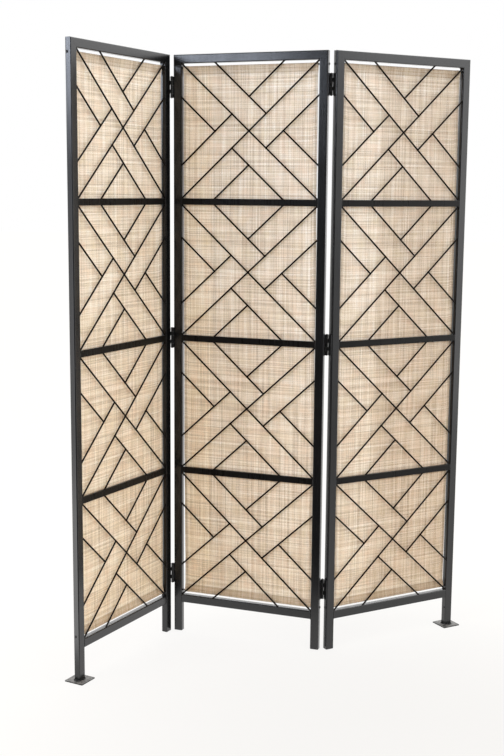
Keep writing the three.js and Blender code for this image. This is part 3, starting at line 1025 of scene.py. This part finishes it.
upright_yarn, lying_yarn = wave(across), wave(down)
on_top = linen.faded(upright_yarn * lying_yarn, -0.12, 0.12)
upright_crown = upright_yarn.worked("ABSOLUTE", upright_yarn)
lying_crown = lying_yarn.worked("ABSOLUTE", lying_yarn)
crown = upright_crown * on_top + lying_crown * (1 - on_top)
yarns = linen.tinted(yarn_shades(False, 20), yarn_shades(True, 0), on_top)
# Painted shade in the grooves between the yarns.
yarns = linen.tinted(yarns, (0.30, 0.21, 0.135, 1), linen.faded(crown, 0.42, 0.0) * 0.5)
# Painted shade on the double hem bands and side hems.
yarns = linen.tinted(yarns, (0.60, 0.50, 0.38, 1), doubled * 0.55, "MULTIPLY")
right, up = linen.add("ShaderNodeSeparateXYZ", values={0: linen.place}, output=["X", "Z"])
# Painted light and shade: the cloth is yellower and darker towards the bottom, the centre and right
# panels are bluer and darker than the left one, and the right panel is darker again and more so
# towards its outer edge.
for tint, way, start, end in (
    ((1.0, 0.945, 0.865, 1), up, 1.75, 0.0),
    ((0.92, 0.945, 0.985, 1), right, -0.25, -0.23),
    ((0.87, 0.85, 0.825, 1), right, 0.23, 0.25),
    ((0.89, 0.88, 0.85, 1), right, 0.27, 0.58),
):
    yarns = linen.tinted(yarns, tint, linen.faded(way, start, end), "MULTIPLY")
fuzz = linen.clouds(3200, 2.0)
linen.surface(
    Base_Color=yarns,
    Roughness=0.86 + fuzz * 0.1,
    Normal=linen.relief(crown + fuzz * 0.3, 0.00016),
    Specular_IOR_Level=0.25,
    Subsurface_Weight=0.7,
    Subsurface_Radius=(1.0, 0.9, 0.8),
    Subsurface_Scale=0.002,
)

for panel in panels:
    cut = linked("cutting", cloth_mesh(panel))
    body = cut.modifiers.new("body", "SOLIDIFY")
    body.thickness = cloth_thickness
    body.offset = 0
    fitted(
        f"{panel}_woven_cloth", panel, worked_out(cut), linen.material, "cloth",
        f"{panel}_panel_cloth",
    )


# ---- Stitches ------------------------------------------------------------------------------
# Lockstitch in tan thread, about three stitches to the centimetre, holds both hem pockets and
# both side hems. It shows on the front and on the back.
stitch_pitch = 0.0034
stitch_sunk = 0.0001
thread_size = 0.00042
side_seam = cloth_half - 0.0064
seam_margin = 0.004

thread = Finish("tan_thread")
twist = thread.clouds(1500, 1.0)
thread.surface(
    Base_Color=thread.tinted((0.62, 0.49, 0.34, 1), (0.44, 0.33, 0.21, 1), twist),
    Roughness=0.8,
    Normal=thread.relief(twist, 0.00004),
)

stitching = Pattern("stitching", Pitch="Float", Thread="Float", Length="Float")
thread_scale = [stitching.given[label] for label in ("Thread", "Thread", "Length")]
strung(stitching, 6, 5, 0.5, thread_scale)


def seam_lines(panel):
    """The lines of the stitches on the front and back of one cloth."""
    lines = []
    proud = cloth_thickness / 2 + thread_size / 2 - stitch_sunk
    for height in seams.values():
        steps = [cloth_half * (step / 40 - 1) * 0.995 for step in range(81)]
        places = [x + slack(panel, x, height)[0] for x in steps]
        lines.append([(x, hem_rod_depth - proud, height) for x in places])
        layers = [pocket_gap + 2 * layer_step * thickened(x) for x in steps]
        lines.append([(x, hem_rod_depth + y + proud, height) for x, y in zip(places, layers)])
    rows = 200
    span = seams["top"] - seams["bottom"] - 2 * seam_margin
    for x in (-side_seam, side_seam):
        for depth in (-proud, layer_step + proud):
            line = []
            for row in range(rows + 1):
                height = seams["bottom"] + seam_margin + span * row / rows
                sideways, ripple = slack(panel, x, height)
                line.append((x + sideways, hem_rod_depth + ripple + depth, height))
            lines.append(line)
    return lines


for panel in panels:
    settings = {
        "Pitch": stitch_pitch, "Thread": thread_size, "Length": stitch_pitch * 0.86,
        "Finish": thread.material,
    }
    sewn = stitching.grown(line_mesh(seam_lines(panel)), settings)
    stitches = fitted(f"{panel}_cloth_stitches", panel, sewn, None, "cloth")


# ---- Hinge leaves --------------------------------------------------------------------------
# Six 62 mm butt hinges of black sprayed steel, three at each joint. Each leaf is rolled round
# the pin in two or three knuckles, and its free corners are rounded.
hinge_length = 0.062
knuckle_radius = 0.004
knuckle_gap = 0.0004
leaf_thickness = 0.0018
leaf_width = 0.0195
leaf_corner = 0.0025
pin_size = 0.004
leaf_hole_pitch = 0.021
leaf_hole_stagger = 0.0022
countersink = 0.0074
screw_hole = 0.0036
sink_depth = 0.0020
cutter_reach = 0.005
hinge_heights = {"top": panel_height - 0.094, "middle": bar_heights[1], "bottom": 0.1885}
hinge_coat = sprayed(
    "hinge_coat", (0.0045, 0.0045, 0.0048, 1), (0.008, 0.008, 0.008, 1), 0.30, 0.05
)


def prism(points, low, high, lift):
    """A solid with that outline. lift places a point of the outline at one of the two ends."""
    shape = bmesh.new()
    ends = [[shape.verts.new(lift(point, end)) for point in points] for end in (low, high)]
    return skinned(shape, ends, capped=True)


def leaf_shape(knuckles):
    """One leaf about the pin axis. Its plate reaches back along +Y, tangent to the barrel's +X
    side; knuckles lists which fifths of the barrel are its own."""
    bore = knuckle_radius - leaf_thickness + 0.00005
    curled = math.radians(300)
    arc = [-curled * step / 30 for step in range(31)]
    outline = [(knuckle_radius, leaf_width)]
    outline += [(knuckle_radius * math.cos(a), knuckle_radius * math.sin(a)) for a in arc]
    outline += [(bore * math.cos(a), bore * math.sin(a)) for a in reversed(arc)]
    outline.append((bore, leaf_width))
    leaf = prism(outline, -hinge_length / 2, hinge_length / 2, lambda p, z: (*p, z))
    middle = (leaf_width - knuckle_radius - 0.001) / 2
    reach = leaf_width + knuckle_radius + 0.001
    trimmed = [
        (point.x + middle, point.y)
        for point, _ in rounded_outline(reach, hinge_length + 0.00001, leaf_corner)
    ]
    envelope = prism(trimmed, -0.006, 0.006, lambda p, x: (x, *p))
    leaf = carved(leaf, envelope, "INTERSECT")
    pitch = hinge_length / 5
    slot = knuckle_radius + knuckle_gap
    for index in range(5):
        if index in knuckles:
            continue
        below, above = [cutter_reach if index == end else knuckle_gap / 2 for end in (0, 4)]
        low = index * pitch - hinge_length / 2 - below
        high = (index + 1) * pitch - hinge_length / 2 + above
        square = [(-slot, -slot), (slot, -slot), (slot, slot), (-slot, slot)]
        leaf = carved(leaf, prism(square, low, high, lambda p, z: (*p, z)))
    for place in screw_places:
        sink = bmesh.new()
        cone = Matrix.Translation(place + Vector((0.0009, 0, 0)))
        cone = cone @ Matrix.Rotation(math.pi / 2, 4, "Y")
        bmesh.ops.create_cone(
            sink, cap_ends=True, segments=28, radius1=countersink / 2 + 0.0001,
            radius2=screw_hole / 2, depth=sink_depth, matrix=cone,
        )
        leaf = carved(leaf, sink)
    bmesh.ops.remove_doubles(leaf, verts=leaf.verts, dist=0.000002)
    return leaf


screw_places = [
    Vector((knuckle_radius - leaf_thickness,
            (knuckle_radius + leaf_width) / 2 + (1 if row == 0 else -1) * leaf_hole_stagger,
            row * leaf_hole_pitch))
    for row in (-1, 0, 1)
]


def hinge_seats():
    """Every leaf: its name, panel, knuckles and where the panel carries it."""
    for word, side in sides.items():
        for level, height in hinge_heights.items():
            place = Matrix.Translation((side * pin_across, side * pin_out, height))
            turned = Matrix.Rotation(math.pi if side > 0 else 0, 4, "Z")
            yield f"hinge_{word}_{level}_centre_leaf", "centre", (0, 2, 4), place @ turned
            place = Matrix.Translation((-side * pin_across, side * pin_out, height))
            turned = Matrix.Rotation(math.pi, 4, "Y" if side < 0 else "X")
            yield f"hinge_{word}_{level}_outer_leaf", word, (1, 3), place @ turned


screws = {panel: [] for panel in panels}
for node, panel, knuckles, seat in hinge_seats():
    leaf = leaf_shape(knuckles)
    leaf.transform(seat)
    fitted(node.replace("_leaf", "_plate"), panel, leaf, hinge_coat, "hinge", node)
    facing = seat.to_3x3() @ Vector((-1, 0, 0))
    screws[panel] += [(seat @ place, facing) for place in screw_places]


# ---- Hinge pins ----------------------------------------------------------------------------
# A 4 mm steel pin runs through each barrel, with a low dome formed on both ends.
pin_head = 0.0066
pin_dome = 0.0012
for word, side in sides.items():
    for level, height in hinge_heights.items():
        half = hinge_length / 2 + 0.0002
        dome = [(math.sin(a) * pin_head / 2, half + pin_dome * math.cos(a))
                for a in (math.pi / 2 * step / 6 for step in range(7))]
        profile = dome + [(pin_size / 2, half)]
        profile += [(radius, -up) for radius, up in reversed(profile)]
        pin = turned_shape(profile)
        pin.transform(Matrix.Translation((side * pin_across, side * pin_out, height)))
        fitted(
            f"hinge_{word}_{level}_axle", "centre", pin, hinge_coat, "hinge",
            f"hinge_{word}_{level}_pin",
        )


# ---- Screws --------------------------------------------------------------------------------
# Cross-recess screws: three countersunk ones in each hinge leaf, and a flat-headed one through
# the outside of each leg into each end of the hem rods. They are blackened steel.
screw_black = Finish("blackened_screw")
driven = screw_black.faded(screw_black.clouds(900, 4.0), 0.5, 0.75)
screw_black.surface(
    Base_Color=screw_black.tinted((0.02, 0.02, 0.021, 1), (0.12, 0.115, 0.11, 1), driven * 0.6),
    Metallic=0.55,
    Roughness=0.32 + driven * 0.15,
    Normal=screw_black.relief(driven, 0.00002),
)


def screw_head(diameter, crown, sunk):
    """A domed head with a cross recess, about its seat: Z points out of the surface."""
    radius = diameter / 2
    arm = radius * 0.56
    arm_half = radius * 0.15
    tip = math.atan2(arm_half, arm)
    angles = []
    for quarter in range(4):
        angles += [quarter * math.pi / 2 + a
                   for a in (-math.pi / 4, -math.pi / 6, -tip, 0, tip, math.pi / 6)]

    def recess(angle, shrink):
        off = abs((angle + math.pi / 4) % (math.pi / 2) - math.pi / 4)
        reach = arm / math.cos(off) if off <= tip + 1e-6 else arm_half / math.sin(off)
        return reach * shrink

    rings = [
        [(radius * 0.5, -sunk)] * len(angles),
        [(radius, 0.0)] * len(angles),
        [(radius * 0.97, crown * 0.35)] * len(angles),
        [(radius * 0.82, crown * 0.78)] * len(angles),
        [(radius * 0.62, crown)] * len(angles),
        [(recess(a, 1.0), crown) for a in angles],
        [(recess(a, 0.8), crown - diameter * 0.16) for a in angles],
    ]
    shape = bmesh.new()
    made = [
        [shape.verts.new((r * math.cos(a), r * math.sin(a), z)) for a, (r, z) in zip(angles, ring)]
        for ring in rings
    ]
    mesh = mesh_of("screw_head", skinned(shape, made, capped=True))
    mesh.set_sharp_from_angle(angle=sharp_edge)
    return linked("screw_head", mesh)


screw_row = Pattern("screw_row", Screw="Object", Seed="Int")
facing = screw_row.add(
    "GeometryNodeInputNamedAttribute", {"data_type": "FLOAT_VECTOR"}, {"Name": "facing"}
)
seated = screw_row.add("FunctionNodeAlignRotationToVector", {"axis": "Z"}, {"Vector": facing})
spun = screw_row.add("ShaderNodeCombineXYZ", values={2: screw_row.uneven(0.0, math.pi)})
spun = screw_row.add("FunctionNodeEulerToRotation", values={0: spun})
seated = screw_row.add(
    "FunctionNodeRotateRotation", {"rotation_space": "LOCAL"},
    {"Rotation": seated, "Rotate By": spun},
)
screw = screw_row.add(
    "GeometryNodeObjectInfo", values={"Object": screw_row.given["Screw"]}, output="Geometry"
)
screw_row.end(
    screw_row.add(
        "GeometryNodeInstanceOnPoints",
        values={"Points": screw_row.given["Base"], "Instance": screw, "Rotation": seated},
    )
)


def screw_mesh(places, head, seed):
    """The screws of one panel, each given by its place and the way it faces."""
    base = line_mesh([[place] for place, _ in places])
    facing = base.attributes.new("facing", "FLOAT_VECTOR", "POINT")
    facing.data.foreach_set("vector", [value for _, out in places for value in out])
    settings = {"Screw": head, "Seed": seed, "Finish": screw_black.material}
    return screw_row.grown(base, settings)


hinge_head = screw_head(0.0072, 0.0005, 0.0017)
rod_head = screw_head(0.0082, 0.0016, 0.0008)
for panel in panels:
    heads = screw_mesh(screws[panel], hinge_head, 31)
    fitted(f"{panel}_hinge_screws", panel, heads, None, "hinge")
    ends = [
        (Vector((side * panel_width / 2, hem_rod_depth, height)), Vector((side, 0, 0)))
        for side in sides.values()
        for height in hem_rod_heights.values()
    ]
    heads = screw_mesh(ends, rod_head, 47)
    fitted(f"{panel}_rod_screws", panel, heads, None, "hinge")
bpy.data.objects.remove(hinge_head)
bpy.data.objects.remove(rod_head)
